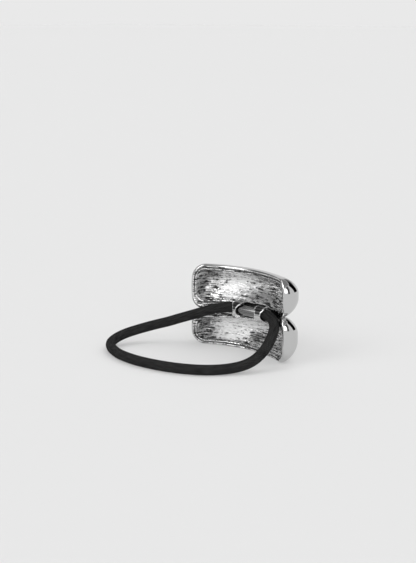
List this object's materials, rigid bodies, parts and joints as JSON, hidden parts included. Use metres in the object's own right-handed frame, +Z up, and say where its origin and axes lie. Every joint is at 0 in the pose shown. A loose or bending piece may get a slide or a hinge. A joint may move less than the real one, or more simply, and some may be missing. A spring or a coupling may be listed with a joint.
{
  "type": "hair tie",
  "caption": "Polished cast cuff of two puffed bars, one above the other, strapped to a loop of round black elastic cord that holds a ponytail.",
  "frame": {"origin": "on the surface that the cuff stands on, below the middle of the cuff's own box", "axes": "+X along the cuff's length, +Y from its smooth front to its hollow back and the elastic loop, +Z up"},
  "size_m": [0.071, 0.0523, 0.0334],
  "materials": {
    "cuff_metal": "polished front, brushed cast back",
    "elastic_cord": "rubber core in a matte woven sleeve",
    "ferrule_metal": "polished"
  },
  "bodies": {
    "root": {"cuff": "cuff_metal", "elastic": "elastic_cord", "ferrule": "ferrule_metal"}
  },
  "joints": []
}
